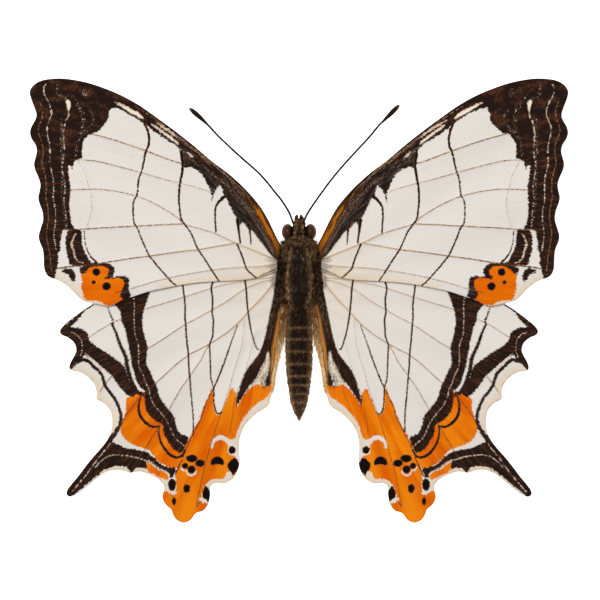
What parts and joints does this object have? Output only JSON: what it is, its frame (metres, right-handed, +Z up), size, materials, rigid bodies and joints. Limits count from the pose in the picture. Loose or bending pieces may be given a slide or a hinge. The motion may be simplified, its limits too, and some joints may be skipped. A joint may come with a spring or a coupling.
{
  "type": "spread butterfly specimen",
  "caption": "Dried butterfly set with its wings spread flat, white and orange with dark lines and tailed hindwings, lying belly down.",
  "frame": {"origin": "bottom centre of the bounding box, on the surface that the specimen lies on", "axes": "+X across the wings to the specimen's right wing, +Y along the body to the head, +Z up from the belly to the back"},
  "size_m": [0.06, 0.0496, 0.0051],
  "materials": {
    "body": "matt, covered in short brown hair",
    "eye": "dark red-brown, glossy",
    "horn": "dark brown horn, low sheen",
    "forewing": "powdery scales, white with dark brown, orange and tan markings",
    "hindwing": "powdery scales, white and orange with dark brown bands and black dots"
  },
  "bodies": {
    "root": {"thorax": "body", "abdomen": "body", "head": "body", "palp_left": "body", "palp_right": "body", "eye_left": "eye", "eye_right": "eye", "antenna_left": "horn", "antenna_right": "horn", "proboscis": "horn", "forewing_left": "forewing", "forewing_right": "forewing", "hindwing_left": "hindwing", "hindwing_right": "hindwing", "foreleg_left": "horn", "foreleg_right": "horn", "midleg_left": "horn", "midleg_right": "horn", "hindleg_left": "horn", "hindleg_right": "horn"}
  },
  "joints": []
}
